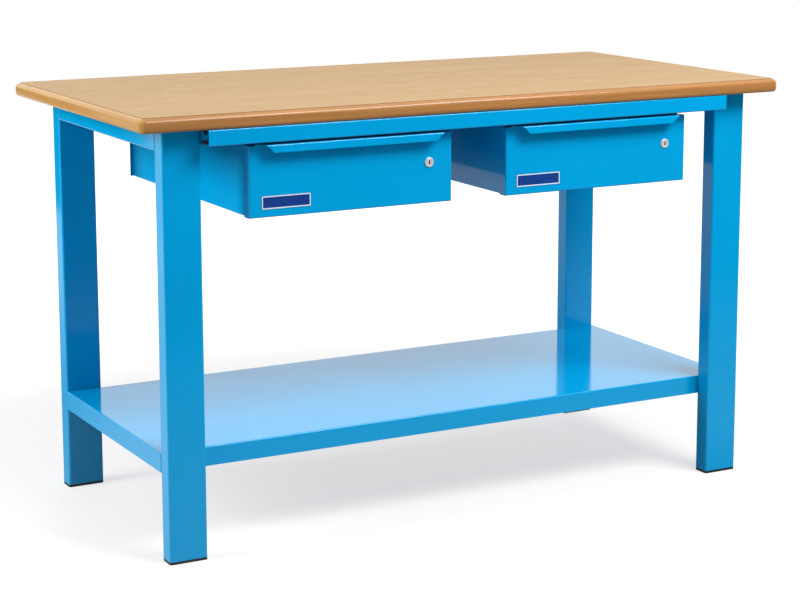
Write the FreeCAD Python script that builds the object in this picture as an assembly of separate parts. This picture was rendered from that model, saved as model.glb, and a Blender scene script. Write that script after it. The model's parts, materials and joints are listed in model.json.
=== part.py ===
import FreeCAD, Part

import math
import os

from FreeCAD import Rotation, Vector

# Steel workbench with a wooden top, two lockable drawers and a lower shelf.
# Millimetres, +Z up, +X along the bench, -Y towards the person who works at it.
# The origin is on the floor, under the middle of the worktop.

# ---- Driving dimensions ------------------------------------------------------

# Worktop
BENCH_HEIGHT = 895.0
TOP_LENGTH = 1500.0
TOP_DEPTH = 750.0
TOP_THICKNESS = 30.0
TOP_PLAN_RADIUS = 10.0
TOP_NOSE_RADIUS = 8.0
TOP_UNDER_RADIUS = 5.0

# Leg frames: two legs of rectangular tube with a crossbar between them, set in from the worktop's edges
SIDE_OVERHANG = 60.0
FRONT_OVERHANG = 45.0
BACK_OVERHANG = 75.0
LEG_WIDTH = 80.0
LEG_DEPTH = 40.0
TUBE_WALL = 2.0
TUBE_RADIUS = 4.5
CROSSBAR_HEIGHT = 45.0

# Feet: plastic caps with a plug that fills the tube
FOOT_HEIGHT = 5.5
FOOT_PLUG_HEIGHT = 28.0
FOOT_PLUG_WALL = 3.0
FOOT_PLUG_PLAY = 0.2

# Lower shelf: a folded tray, open below, with two hat channels under it
SHELF_HEIGHT = 219.5
SHELF_LIP = 40.0
SHELF_SHEET = 1.5
SHELF_FOLD_RADIUS = 3.0
SHELF_RETURN = 12.0
STIFFENER_WIDTH = 50.0
STIFFENER_DEPTH = 24.0
STIFFENER_FLANGE = 18.0
STIFFENER_SHEET = 1.5
STIFFENER_SPACING = 250.0
STIFFENER_END_GAP = 70.0

# Rails: channels that run between the legs, with their web outwards
RAIL_HEIGHT = 32.0
RAIL_REACH = 42.0
RAIL_SHEET = 2.0
RAIL_FOLD_RADIUS = 3.0
RAIL_END_PLATE = 3.0
RAIL_STUD_COUNT = 5
RAIL_STUD_SETBACK = 50.0
RAIL_STUD_INSET = 14.0
RAIL_STUD_END = 7.0

# Drawer cases: folded sheet, open in front, hung under the rails
DRAWER_WIDTH = 453.0
DRAWER_SPACING = 582.0
PANEL_REACH = 18.0
CASE_HEIGHT = 149.5
CASE_BACK_GAP = 18.0
CASE_SHEET = 1.2
CASE_FOLD_RADIUS = 2.0
CASE_INSET = 2.0
CASE_LIP = 15.0
CASE_STRIKE = 25.0
CASE_BACK_LIP = 5.0
CASE_BOLT_SPREAD = 300.0
CASE_BOLT_EDGE = 15.0
CAM_STRIKE_GAP = 0.8

# Drawer fronts: a pan with its returns backwards, and a pull folded forwards
PANEL_SHEET = 1.2
PANEL_RETURN = 25.0
PANEL_FOLD_RADIUS = 3.0
PANEL_TOP_GAP = 5.0
PANEL_DROP = 1.5
PANEL_STOP_GAP = 1.0
PULL_REACH = 22.0
PULL_LIP = 16.0
PULL_INSET = 14.0
PULL_TAPER = 16.0

# Drawer boxes
BOX_SHEET = 1.0
BOX_FOLD_RADIUS = 1.5
BOX_HEIGHT = 112.0
BOX_BACK_GAP = 69.0
BOX_LIFT = 6.0
BOX_HEM = 8.0
LOCK_GUARD_GAP = 1.0

# Ball slides: an outer and an inner channel with a ball cage between them
SLIDE_THICKNESS = 12.7
SLIDE_HEIGHT = 45.0
SLIDE_LENGTH = 500.0
SLIDE_SHEET = 1.2
SLIDE_LIFT = 55.0
SLIDE_TRAVEL = 380.0
SLIDE_FRONT_GAP = 2.0
OUTER_FLANGE_GAP = 1.7
INNER_HEIGHT = 32.0
INNER_FLANGE_GAP = 3.0
CAGE_SHEET = 0.8
CAGE_WEB_GAP = 0.4
CAGE_LENGTH = 110.0
CAGE_FLANGE = 7.0
BALL_CLEARANCE = 0.3
BALLS_PER_ROW = 4
RIVETS_PER_SLIDE = 3
RIVET_RADIUS = 1.6
RIVET_HEAD_RADIUS = 3.2
RIVET_HEAD_HEIGHT = 0.8
RIVET_EDGE = 40.0

# Cam locks
LOCK_FROM_SIDE = 53.0
LOCK_FROM_TOP = 62.0
LOCK_BEZEL_RADIUS = 10.0
LOCK_BEZEL_HEIGHT = 2.5
LOCK_BEZEL_BEVEL = 0.8
LOCK_BODY_RADIUS = 8.0
LOCK_PLUG_RADIUS = 6.0
LOCK_PLUG_RECESS = 0.4
LOCK_TAIL_RADIUS = 4.0
LOCK_RUNNING_FIT = 0.05
LOCK_END_PLAY = 0.3
KEYWAY_WIDTH = 1.6
KEYWAY_LENGTH = 8.0
KEYWAY_DEPTH = 6.0
CAM_THICKNESS = 2.0
CAM_WIDTH = 16.0
CAM_REACH = 45.0
CAM_SCREW_RADIUS = 2.0
CAM_SCREW_HEAD_RADIUS = 5.0
CAM_SCREW_HEAD_HEIGHT = 2.4
CAM_SCREW_BITE = 8.0
LOCK_NUT_ACROSS = 21.0
LOCK_NUT_HEIGHT = 4.0

# Plain label plates on the drawer fronts
LABEL_WIDTH = 107.0
LABEL_HEIGHT = 27.0
LABEL_THICKNESS = 0.8
LABEL_RADIUS = 2.0
LABEL_FROM_SIDE = 26.0
LABEL_FROM_BOTTOM = 16.0

# Fasteners: thread radius, width across the flats of the head and nut, their heights
M8_RADIUS = 4.0
M8_ACROSS = 13.0
M8_HEAD = 5.3
M8_NUT = 6.5
M8_FLANGE_RADIUS = 9.0
M8_FLANGE_HEIGHT = 1.6
M8_FLANGED_HEAD = 8.0
M6_RADIUS = 3.0
M6_ACROSS = 10.0
M6_HEAD = 4.0
M6_NUT = 5.0
HOLE_PLAY = 0.1
SCREW_BITE = 18.0
CROSSBAR_SCREW_SPREAD = 380.0
SHELF_STUD_SPREAD = 40.0
SHELF_STUD_END = 3.0

# ---- Places worked out from them ---------------------------------------------

UNDERSIDE = BENCH_HEIGHT - TOP_THICKNESS
FRAME_FRONT = -TOP_DEPTH / 2 + FRONT_OVERHANG
FRAME_BACK = TOP_DEPTH / 2 - BACK_OVERHANG
FRAME_SIDE = TOP_LENGTH / 2 - SIDE_OVERHANG
LEG_INNER_SIDE = FRAME_SIDE - LEG_WIDTH
LEG_FRONT_BACK = FRAME_FRONT + LEG_DEPTH
LEG_BACK_FRONT = FRAME_BACK - LEG_DEPTH

RAIL_BOTTOM = UNDERSIDE - RAIL_HEIGHT
RAIL_DEPTH = RAIL_REACH + LEG_DEPTH
RAIL_FRONT = FRAME_FRONT - RAIL_REACH

SHELF_BOTTOM = SHELF_HEIGHT - SHELF_LIP
SHELF_UNDER = SHELF_HEIGHT - SHELF_SHEET

PANEL_FRONT = FRAME_FRONT - PANEL_REACH
PANEL_BACK = PANEL_FRONT + PANEL_SHEET
PANEL_TOP = RAIL_BOTTOM - PANEL_TOP_GAP
CASE_BOTTOM = RAIL_BOTTOM - CASE_HEIGHT
PANEL_BOTTOM = CASE_BOTTOM - PANEL_DROP
CASE_FRONT = PANEL_FRONT + PANEL_RETURN + PANEL_STOP_GAP
CASE_BACK = FRAME_BACK - CASE_BACK_GAP
CASE_SIDE = DRAWER_WIDTH / 2 - CASE_INSET
CASE_INNER_SIDE = CASE_SIDE - CASE_SHEET

BOX_SIDE = CASE_INNER_SIDE - SLIDE_THICKNESS
BOX_BOTTOM = CASE_BOTTOM + BOX_LIFT
BOX_TOP = BOX_BOTTOM + BOX_HEIGHT
BOX_BACK = CASE_BACK - BOX_BACK_GAP

SLIDE_FRONT = CASE_FRONT + SLIDE_FRONT_GAP
SLIDE_CENTRE = BOX_BOTTOM + SLIDE_LIFT
CAGE_TRAVEL = SLIDE_TRAVEL / 2

LOCK_X = DRAWER_WIDTH / 2 - LOCK_FROM_SIDE
LOCK_Z = PANEL_TOP - LOCK_FROM_TOP
CAM_FRONT = CASE_FRONT + CASE_SHEET + CAM_STRIKE_GAP
LOCK_BODY_LENGTH = CAM_FRONT - LOCK_END_PLAY - PANEL_FRONT
LOCK_GUARD_FRONT = CAM_FRONT + CAM_THICKNESS + CAM_SCREW_HEAD_HEIGHT + LOCK_GUARD_GAP

DRAWER_CENTRES = {"left": -DRAWER_SPACING / 2, "right": DRAWER_SPACING / 2}

SMALL = 1e-6
X_AXIS = Vector(1, 0, 0)
Y_AXIS = Vector(0, 1, 0)
Z_AXIS = Vector(0, 0, 1)


# ---- Helpers -----------------------------------------------------------------

def block(x_range, y_range, z_range):
    """A box between two places along each axis."""
    low = Vector(x_range[0], y_range[0], z_range[0])
    return Part.makeBox(x_range[1] - x_range[0], y_range[1] - y_range[0], z_range[1] - z_range[0], low)


def about(centre, half):
    """The range that lies the same distance each side of a centre."""
    return (centre - half, centre + half)


def edges_along(shape, axis):
    """The straight edges of a box that run along an axis."""
    found = []
    for edge in shape.Edges:
        direction = edge.Vertexes[-1].Point - edge.Vertexes[0].Point
        if direction.Length > SMALL and direction.normalize().cross(axis).Length < SMALL:
            found.append(edge)
    return found


def outermost(edges, direction):
    """Those edges whose middle lies furthest in a direction."""
    places = [edge.CenterOfMass.dot(direction) for edge in edges]
    furthest = max(places)
    return [edge for edge, place in zip(edges, places) if furthest - place < SMALL]


def fold(shape, along, towards, radius):
    """Rounds those edges of a box along an axis that lie furthest in a direction."""
    return shape.makeFillet(radius, outermost(edges_along(shape, along), towards))


def joined(solids):
    """One solid from pieces that overlap or share faces."""
    return solids[0].multiFuse(solids[1:]).removeSplitter()


def rod(base, axis, radius, length):
    return Part.makeCylinder(radius, length, base, axis)


def hexagon(base, axis, across, height):
    """A hexagonal prism that stands on base along axis."""
    corner = across / 2 / math.cos(math.pi / 6)
    angles = [math.pi / 3 * step for step in range(7)]
    ring = Part.makePolygon([Vector(corner * math.cos(a), corner * math.sin(a), 0) for a in angles])
    prism = Part.Face(ring).extrude(Z_AXIS * height)
    prism.Placement = FreeCAD.Placement(base, Rotation(Z_AXIS, axis))
    return prism


def hex_bolt(seat, axis, thread, across, head, length):
    """A bolt whose head sits under seat and whose shank runs along axis from there."""
    top = hexagon(seat - axis * head, axis, across, head)
    return joined([top, rod(seat, axis, thread, length)])


def flange_bolt(seat, axis, length):
    """A bolt with a round flange between its head and seat."""
    flange = rod(seat - axis * M8_FLANGE_HEIGHT, axis, M8_FLANGE_RADIUS, M8_FLANGE_HEIGHT)
    return joined([hex_bolt(seat, axis, M8_RADIUS, M8_ACROSS, M8_FLANGED_HEAD, length), flange])


def hex_nut(seat, axis, thread, across, height):
    return hexagon(seat, axis, across, height).cut(rod(seat, axis, thread + HOLE_PLAY, height))


def flange_nut(seat, axis):
    """An M8 nut with a round flange against seat."""
    flange = rod(seat, axis, M8_FLANGE_RADIUS, M8_FLANGE_HEIGHT)
    body = joined([hexagon(seat, axis, M8_ACROSS, M8_NUT), flange])
    return body.cut(rod(seat, axis, M8_RADIUS + HOLE_PLAY, M8_NUT))


def rounded_bar(x_range, y_range, z_range, axis, radius):
    """A box whose four edges along an axis are rounded."""
    bar = block(x_range, y_range, z_range)
    return bar.makeFillet(radius, edges_along(bar, axis))


def shrunk(limits, amount):
    return (limits[0] + amount, limits[1] - amount)


def rounded_path(points, radius):
    """The straight runs of a line through points, and the centres of the bends between them."""
    runs = []
    centres = []
    start = points[0]
    for before, corner, after in zip(points, points[1:], points[2:]):
        into = (corner - before).normalize()
        out = (after - corner).normalize()
        half_turn = into.getAngle(out) / 2
        setback = radius * math.tan(half_turn)
        runs.append((start, corner - into * setback))
        centres.append(corner + (out - into).normalize() * (radius / math.cos(half_turn)))
        start = corner + out * setback
    runs.append((start, points[-1]))
    return runs, centres


def bent_strip(points, thickness, inner_radius, normal, width):
    """A strip of sheet with round bends, extruded by width along normal.

    points run along the middle of the sheet. Both faces of a bend share its centre."""
    runs, centres = rounded_path(points, inner_radius + thickness / 2)
    edges = []
    faces = []
    for offset in (thickness / 2, -thickness / 2):
        lines = []
        for start, stop in runs:
            shift = normal.cross(stop - start).normalize() * offset
            lines.append((start + shift, stop + shift))
        edges += [Part.makeLine(start, stop) for start, stop in lines]
        for centre, before, after in zip(centres, lines, lines[1:]):
            first = before[1] - centre
            last = after[0] - centre
            crown = centre + (first + last).normalize() * first.Length
            edges.append(Part.Arc(before[1], crown, after[0]).toShape())
        faces.append(lines)
    one, other = faces
    edges.append(Part.makeLine(one[0][0], other[0][0]))
    edges.append(Part.makeLine(one[-1][1], other[-1][1]))
    outline = Part.Wire(Part.__sortEdges__(edges))
    return Part.Face(outline).extrude(normal * width)


# ---- Worktop and the screws that hold it --------------------------------------

def crossbar_screw_places():
    """Feet of the long screws that go up through the crossbars into the worktop."""
    middle = (FRAME_FRONT + FRAME_BACK) / 2
    return [Vector(side * (FRAME_SIDE - LEG_WIDTH / 2), y, UNDERSIDE - CROSSBAR_HEIGHT)
            for side in (-1, 1) for y in about(middle, CROSSBAR_SCREW_SPREAD / 2)]


def rail_stud_places():
    """Where the worktop's studs come out below the rails' upper flanges."""
    first = -LEG_INNER_SIDE + RAIL_STUD_INSET
    pitch = -2 * first / (RAIL_STUD_COUNT - 1)
    rows = (RAIL_FRONT + RAIL_STUD_SETBACK, FRAME_BACK - RAIL_STUD_SETBACK)
    return [Vector(first + pitch * step, y, UNDERSIDE - RAIL_SHEET)
            for y in rows for step in range(RAIL_STUD_COUNT)]


def worktop():
    board = rounded_bar(about(0, TOP_LENGTH / 2), about(0, TOP_DEPTH / 2), (UNDERSIDE, BENCH_HEIGHT),
                        Z_AXIS, TOP_PLAN_RADIUS)
    upper = [edge for edge in board.Edges if abs(edge.CenterOfMass.z - BENCH_HEIGHT) < SMALL]
    board = board.makeFillet(TOP_NOSE_RADIUS, upper)
    lower = [edge for edge in board.Edges if abs(edge.BoundBox.ZMax - UNDERSIDE) < SMALL]
    board = board.makeFillet(TOP_UNDER_RADIUS, lower)
    for place in crossbar_screw_places() + rail_stud_places():
        hole = rod(Vector(place.x, place.y, UNDERSIDE), Z_AXIS, M8_RADIUS + HOLE_PLAY, SCREW_BITE + HOLE_PLAY)
        board = board.cut(hole)
    return board


def crossbar_screws():
    length = CROSSBAR_HEIGHT + SCREW_BITE
    return [flange_bolt(place, Z_AXIS, length) for place in crossbar_screw_places()]


def rail_studs():
    """Threaded studs, fixed in the worktop, that hang down through the rails."""
    below = M8_NUT + RAIL_STUD_END
    length = below + RAIL_SHEET + SCREW_BITE
    return [rod(place - Z_AXIS * below, Z_AXIS, M8_RADIUS, length) for place in rail_stud_places()]


def rail_nuts():
    """Flange nuts that pull the worktop down onto the rails."""
    return [flange_nut(place, Z_AXIS * -1) for place in rail_stud_places()]


# ---- Leg frames ----------------------------------------------------------------

def rail_bolt_places():
    """Where the rails' end plates are bolted to the legs: place on the leg and its outward axis."""
    height = UNDERSIDE - RAIL_HEIGHT / 2
    depths = (FRAME_FRONT + LEG_DEPTH / 2, FRAME_BACK - LEG_DEPTH / 2)
    return [(Vector(side * LEG_INNER_SIDE, y, height), X_AXIS * side) for side in (-1, 1) for y in depths]


def shelf_stud_places():
    """Where the shelf's lips are fixed to the legs: place on the leg and the axis into the shelf."""
    height = SHELF_HEIGHT - SHELF_LIP / 2
    rows = ((LEG_FRONT_BACK, Y_AXIS), (LEG_BACK_FRONT, Y_AXIS * -1))
    return [(Vector(x, y, height), axis)
            for side in (-1, 1)
            for x in about(side * (FRAME_SIDE - LEG_WIDTH / 2), SHELF_STUD_SPREAD / 2)
            for y, axis in rows]


def leg(side, front):
    x_range = sorted((side * FRAME_SIDE, side * LEG_INNER_SIDE))
    y_range = (FRAME_FRONT, LEG_FRONT_BACK) if front else (LEG_BACK_FRONT, FRAME_BACK)
    z_range = (FOOT_HEIGHT, UNDERSIDE)
    tube = rounded_bar(x_range, y_range, z_range, Z_AXIS, TUBE_RADIUS)
    bore = rounded_bar(shrunk(x_range, TUBE_WALL), shrunk(y_range, TUBE_WALL), z_range,
                       Z_AXIS, TUBE_RADIUS - TUBE_WALL)
    tube = tube.cut(bore)
    for place, axis in rail_bolt_places():
        tube = tube.cut(rod(place, axis, M8_RADIUS + HOLE_PLAY, TUBE_WALL))
    return tube


def crossbar(side):
    x_range = sorted((side * FRAME_SIDE, side * LEG_INNER_SIDE))
    y_range = (LEG_FRONT_BACK, LEG_BACK_FRONT)
    z_range = (UNDERSIDE - CROSSBAR_HEIGHT, UNDERSIDE)
    tube = rounded_bar(x_range, y_range, z_range, Y_AXIS, TUBE_RADIUS)
    bore = rounded_bar(shrunk(x_range, TUBE_WALL), y_range, shrunk(z_range, TUBE_WALL),
                       Y_AXIS, TUBE_RADIUS - TUBE_WALL)
    tube = tube.cut(bore)
    for place in crossbar_screw_places():
        tube = tube.cut(rod(place, Z_AXIS, M8_RADIUS + HOLE_PLAY, CROSSBAR_HEIGHT))
    return tube


def foot(side, front):
    x_range = sorted((side * FRAME_SIDE, side * LEG_INNER_SIDE))
    y_range = (FRAME_FRONT, LEG_FRONT_BACK) if front else (LEG_BACK_FRONT, FRAME_BACK)
    sole = rounded_bar(x_range, y_range, (0, FOOT_HEIGHT), Z_AXIS, TUBE_RADIUS)
    skin = TUBE_WALL + FOOT_PLUG_PLAY
    z_range = (0, FOOT_HEIGHT + FOOT_PLUG_HEIGHT)
    plug = rounded_bar(shrunk(x_range, skin), shrunk(y_range, skin), z_range, Z_AXIS, TUBE_RADIUS - TUBE_WALL)
    well = block(shrunk(x_range, skin + FOOT_PLUG_WALL), shrunk(y_range, skin + FOOT_PLUG_WALL),
                 (FOOT_HEIGHT, FOOT_HEIGHT + FOOT_PLUG_HEIGHT))
    return joined([sole, plug]).cut(well)


def leg_weld_nuts():
    """Nuts welded inside the legs, behind each bolt hole."""
    return [hex_nut(place + axis * TUBE_WALL, axis, M8_RADIUS, M8_ACROSS, M8_NUT)
            for place, axis in rail_bolt_places()]


# ---- Lower shelf ---------------------------------------------------------------

def lower_shelf():
    x_range = about(0, FRAME_SIDE)
    y_range = (LEG_FRONT_BACK, LEG_BACK_FRONT)
    tray = block(x_range, y_range, (SHELF_BOTTOM, SHELF_HEIGHT))
    rounded = edges_along(tray, Z_AXIS)
    rounded += [edge for edge in tray.Edges if abs(edge.BoundBox.ZMin - SHELF_HEIGHT) < SMALL]
    tray = tray.makeFillet(SHELF_FOLD_RADIUS, rounded)
    inner_x = shrunk(x_range, SHELF_SHEET)
    inner_y = shrunk(y_range, SHELF_SHEET)
    tray = tray.cut(rounded_bar(inner_x, inner_y, (SHELF_BOTTOM + SHELF_SHEET, SHELF_UNDER),
                                Z_AXIS, SHELF_FOLD_RADIUS - SHELF_SHEET))
    tray = tray.cut(block(inner_x, shrunk(inner_y, SHELF_RETURN), (SHELF_BOTTOM, SHELF_UNDER)))
    for place, axis in shelf_stud_places():
        tray = tray.cut(rod(place, axis, M8_RADIUS + HOLE_PLAY, SHELF_SHEET))
    return tray


def shelf_stiffener(y):
    """A hat channel along the shelf, welded to its underside by its two flanges."""
    half_sheet = STIFFENER_SHEET / 2
    crown = SHELF_UNDER - STIFFENER_DEPTH + half_sheet
    brim = SHELF_UNDER - half_sheet
    side = STIFFENER_WIDTH / 2 - half_sheet
    reach = STIFFENER_WIDTH / 2 + STIFFENER_FLANGE
    start = -FRAME_SIDE + STIFFENER_END_GAP
    corners = ((-reach, brim), (-side, brim), (-side, crown), (side, crown), (side, brim), (reach, brim))
    points = [Vector(start, y + across, z) for across, z in corners]
    return bent_strip(points, STIFFENER_SHEET, STIFFENER_SHEET, X_AXIS, -2 * start)


def shelf_studs():
    """Threaded studs, welded to the legs, that reach through the shelf's lips."""
    length = SHELF_SHEET + M8_NUT + SHELF_STUD_END
    return [rod(place, axis, M8_RADIUS, length) for place, axis in shelf_stud_places()]


def shelf_nuts():
    """Flange nuts on the studs, inside the shelf's lips."""
    return [flange_nut(place + axis * SHELF_SHEET, axis) for place, axis in shelf_stud_places()]


# ---- Rails under the worktop ----------------------------------------------------

def case_bolt_places():
    """Under the rails' lower flanges, one pair in front and one at the back of each case."""
    rows = (LEG_FRONT_BACK - CASE_BOLT_EDGE, FRAME_BACK - RAIL_DEPTH + CASE_BOLT_EDGE)
    return [Vector(x, y, RAIL_BOTTOM - CASE_SHEET)
            for centre in DRAWER_CENTRES.values()
            for x in about(centre, CASE_BOLT_SPREAD / 2)
            for y in rows]


def rail(front):
    """A channel with its web outwards. Its inner part lies between the legs."""
    y_range = (RAIL_FRONT, LEG_FRONT_BACK) if front else (FRAME_BACK - RAIL_DEPTH, FRAME_BACK)
    x_range = about(0, LEG_INNER_SIDE)
    z_range = (RAIL_BOTTOM, UNDERSIDE)
    channel = block(x_range, y_range, z_range)
    outward = -1 if front else 1
    channel = fold(channel, X_AXIS, Y_AXIS * outward, RAIL_FOLD_RADIUS)
    open_y = (y_range[0] + RAIL_SHEET, y_range[1]) if front else (y_range[0], y_range[1] - RAIL_SHEET)
    hollow = block(x_range, open_y, shrunk(z_range, RAIL_SHEET))
    channel = channel.cut(fold(hollow, X_AXIS, Y_AXIS * outward, RAIL_FOLD_RADIUS - RAIL_SHEET))
    for place in rail_stud_places():
        channel = channel.cut(rod(place, Z_AXIS, M8_RADIUS + HOLE_PLAY, RAIL_SHEET))
    for place in case_bolt_places():
        channel = channel.cut(rod(place, Z_AXIS, M6_RADIUS + HOLE_PLAY, CASE_SHEET + RAIL_SHEET))
    return channel


def rail_end_plates():
    """Plates welded into the rails' ends where these lie against the legs."""
    plates = []
    for place, axis in rail_bolt_places():
        x_range = sorted((place.x, place.x - axis.x * RAIL_END_PLATE))
        z_range = shrunk((RAIL_BOTTOM, UNDERSIDE), RAIL_SHEET)
        inside = RAIL_FOLD_RADIUS if place.y > 0 else 0
        y_range = (place.y - LEG_DEPTH / 2, place.y + LEG_DEPTH / 2 - inside)
        plate = block(x_range, y_range, z_range)
        plates.append(plate.cut(rod(place, axis * -1, M8_RADIUS + HOLE_PLAY, RAIL_END_PLATE)))
    return plates


def rail_bolts():
    length = RAIL_END_PLATE + TUBE_WALL + M8_NUT
    return [hex_bolt(place - axis * RAIL_END_PLATE, axis, M8_RADIUS, M8_ACROSS, M8_HEAD, length)
            for place, axis in rail_bolt_places()]


# ---- Drawer cases ----------------------------------------------------------------

def drawer_case(centre):
    """The fixed shell round one drawer: top, two sides and lips below."""
    x_range = about(centre, CASE_SIDE)
    y_range = (CASE_FRONT, CASE_BACK)
    z_range = (CASE_BOTTOM, RAIL_BOTTOM)
    shell = rounded_bar(x_range, y_range, z_range, Y_AXIS, CASE_FOLD_RADIUS)
    inner_x = shrunk(x_range, CASE_SHEET)
    shell = shell.cut(rounded_bar(inner_x, y_range, shrunk(z_range, CASE_SHEET),
                                  Y_AXIS, CASE_FOLD_RADIUS - CASE_SHEET))
    shell = shell.cut(block(shrunk(x_range, CASE_LIP), y_range, (CASE_BOTTOM, CASE_BOTTOM + CASE_SHEET)))
    for place in case_bolt_places():
        shell = shell.cut(rod(place, Z_AXIS, M6_RADIUS + HOLE_PLAY, CASE_SHEET))
    return shell


def case_strike(centre):
    """The plate across the case's mouth that the lock's cam turns up behind."""
    y_range = (CASE_FRONT, CASE_FRONT + CASE_SHEET)
    mouth = rounded_bar(about(centre, CASE_INNER_SIDE), y_range, (CASE_BOTTOM, RAIL_BOTTOM - CASE_SHEET),
                        Y_AXIS, CASE_FOLD_RADIUS - CASE_SHEET)
    plate = block(about(centre, CASE_SIDE), y_range, (RAIL_BOTTOM - CASE_STRIKE, RAIL_BOTTOM))
    return plate.common(mouth)


def case_back_plate(centre):
    """Closes the case behind and stands a little past its sides."""
    return block(about(centre, CASE_SIDE + CASE_BACK_LIP), (CASE_BACK, CASE_BACK + CASE_SHEET),
                 (CASE_BOTTOM, RAIL_BOTTOM))


def case_bolts():
    length = CASE_SHEET + RAIL_SHEET + M6_NUT
    return [hex_bolt(place, Z_AXIS, M6_RADIUS, M6_ACROSS, M6_HEAD, length) for place in case_bolt_places()]


def case_nuts():
    lift = Z_AXIS * (CASE_SHEET + RAIL_SHEET)
    return [hex_nut(place + lift, Z_AXIS, M6_RADIUS, M6_ACROSS, M6_NUT) for place in case_bolt_places()]


# ---- Drawers -----------------------------------------------------------------------

def lock_hole(centre, y_range):
    base = Vector(centre + LOCK_X, y_range[0], LOCK_Z)
    return rod(base, Y_AXIS, LOCK_BODY_RADIUS + HOLE_PLAY, y_range[1] - y_range[0])


def pan_folds(pan):
    """The front edges of a box at its sides and bottom."""
    top = pan.BoundBox.ZMax
    return [edge for edge in outermost(pan.Edges, Y_AXIS * -1) if edge.BoundBox.ZMin < top - SMALL]


def drawer_front(centre):
    """The visible panel with its returns, and the pull along its upper edge.

    The pull's flange narrows towards the lip, and the lip's ends slope at 45 degrees."""
    x_range = about(centre, DRAWER_WIDTH / 2)
    y_range = (PANEL_FRONT, PANEL_FRONT + PANEL_RETURN)
    z_range = (PANEL_BOTTOM, PANEL_TOP - PANEL_FOLD_RADIUS)
    pan = block(x_range, y_range, z_range)
    pan = pan.makeFillet(PANEL_FOLD_RADIUS, pan_folds(pan))
    hollow = block(shrunk(x_range, PANEL_SHEET), (PANEL_BACK, y_range[1]),
                   (PANEL_BOTTOM + PANEL_SHEET, z_range[1]))
    pan = pan.cut(hollow.makeFillet(PANEL_FOLD_RADIUS - PANEL_SHEET, pan_folds(hollow)))
    half = PANEL_SHEET / 2
    flange_z = PANEL_TOP - half
    lip_y = PANEL_FRONT - PULL_REACH + half
    start = x_range[0] + PULL_INSET
    profile = ((PANEL_FRONT + half, z_range[1] - PANEL_FOLD_RADIUS), (PANEL_FRONT + half, flange_z),
               (lip_y, flange_z), (lip_y, PANEL_TOP - PULL_LIP))
    points = [Vector(start, y, z) for y, z in profile]
    width = x_range[1] - x_range[0] - 2 * PULL_INSET
    pull = bent_strip(points, PANEL_SHEET, PANEL_FOLD_RADIUS - PANEL_SHEET, X_AXIS, width)
    for side in (-1, 1):
        end = centre + side * width / 2
        tip = end - side * PULL_TAPER
        low = PANEL_TOP - PULL_LIP
        nose_y = PANEL_FRONT - PULL_REACH
        waste = Part.makePolygon([Vector(end, PANEL_FRONT - PANEL_SHEET, low), Vector(tip, nose_y, low),
                                  Vector(end, nose_y, low), Vector(end, PANEL_FRONT - PANEL_SHEET, low)])
        pull = pull.cut(Part.Face(waste).extrude(Z_AXIS * PULL_LIP))
        waste = Part.makePolygon([Vector(tip, nose_y, PANEL_TOP), Vector(end, nose_y, PANEL_TOP),
                                  Vector(end, nose_y, low), Vector(tip - side * PULL_LIP, nose_y, low),
                                  Vector(tip, nose_y, PANEL_TOP)])
        pull = pull.cut(Part.Face(waste).extrude(Y_AXIS * PANEL_SHEET))
    return joined([pan, pull]).cut(lock_hole(centre, y_range))


def drawer_box(centre):
    """The open tub that carries the load, with a hem along its sides and back, and a wall behind the lock."""
    x_range = about(centre, BOX_SIDE)
    y_range = (PANEL_BACK, BOX_BACK)
    z_range = (BOX_BOTTOM, BOX_TOP)
    tub = block(x_range, y_range, z_range)
    tub = fold(tub, Y_AXIS, Z_AXIS * -1, BOX_FOLD_RADIUS)
    inner_x = shrunk(x_range, BOX_SHEET)
    inner_y = shrunk(y_range, BOX_SHEET)
    tub = tub.cut(block(inner_x, inner_y, (BOX_BOTTOM + BOX_SHEET, BOX_TOP - BOX_SHEET)))
    mouth_y = (inner_y[0], inner_y[1] - BOX_HEM)
    tub = tub.cut(block(shrunk(inner_x, BOX_HEM), mouth_y, (BOX_BOTTOM + BOX_SHEET, BOX_TOP)))
    guard_y = (LOCK_GUARD_FRONT, LOCK_GUARD_FRONT + BOX_SHEET)
    tub = joined([tub, block(inner_x, guard_y, (BOX_BOTTOM + BOX_SHEET, BOX_TOP))])
    for rivet_base, axis in rivet_places(centre):
        tub = tub.cut(rod(rivet_base, axis, RIVET_RADIUS + HOLE_PLAY, SLIDE_SHEET + BOX_SHEET))
    return tub.cut(lock_hole(centre, (PANEL_BACK, PANEL_BACK + BOX_SHEET)))


def label_plate(centre):
    left = centre - DRAWER_WIDTH / 2 + LABEL_FROM_SIDE
    bottom = PANEL_BOTTOM + LABEL_FROM_BOTTOM
    return rounded_bar((left, left + LABEL_WIDTH), (PANEL_FRONT - LABEL_THICKNESS, PANEL_FRONT),
                       (bottom, bottom + LABEL_HEIGHT), Y_AXIS, LABEL_RADIUS)


# ---- Ball slides ---------------------------------------------------------------------

def channel_section(web, tips, half_height, sheet, y_range):
    """A C channel along Y: its web stands at web, its flanges reach to tips."""
    inward = 1 if tips > web else -1
    outside = block(sorted((web, tips)), y_range, about(SLIDE_CENTRE, half_height))
    inside = block(sorted((web + inward * sheet, tips)), y_range, about(SLIDE_CENTRE, half_height - sheet))
    return outside.cut(inside)


def slide_sides(centre):
    """For both sides of a drawer: the case's wall and the direction to the drawer box."""
    return [(centre - CASE_INNER_SIDE, 1), (centre + CASE_INNER_SIDE, -1)]


def rivet_places(centre):
    """Inner face of the inner members' webs, and the direction of the drawer box."""
    first = SLIDE_FRONT + RIVET_EDGE
    pitch = (SLIDE_LENGTH - 2 * RIVET_EDGE) / (RIVETS_PER_SLIDE - 1)
    reach = SLIDE_THICKNESS - SLIDE_SHEET
    return [(Vector(wall + inward * reach, first + pitch * step, SLIDE_CENTRE), X_AXIS * inward)
            for wall, inward in slide_sides(centre) for step in range(RIVETS_PER_SLIDE)]


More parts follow.
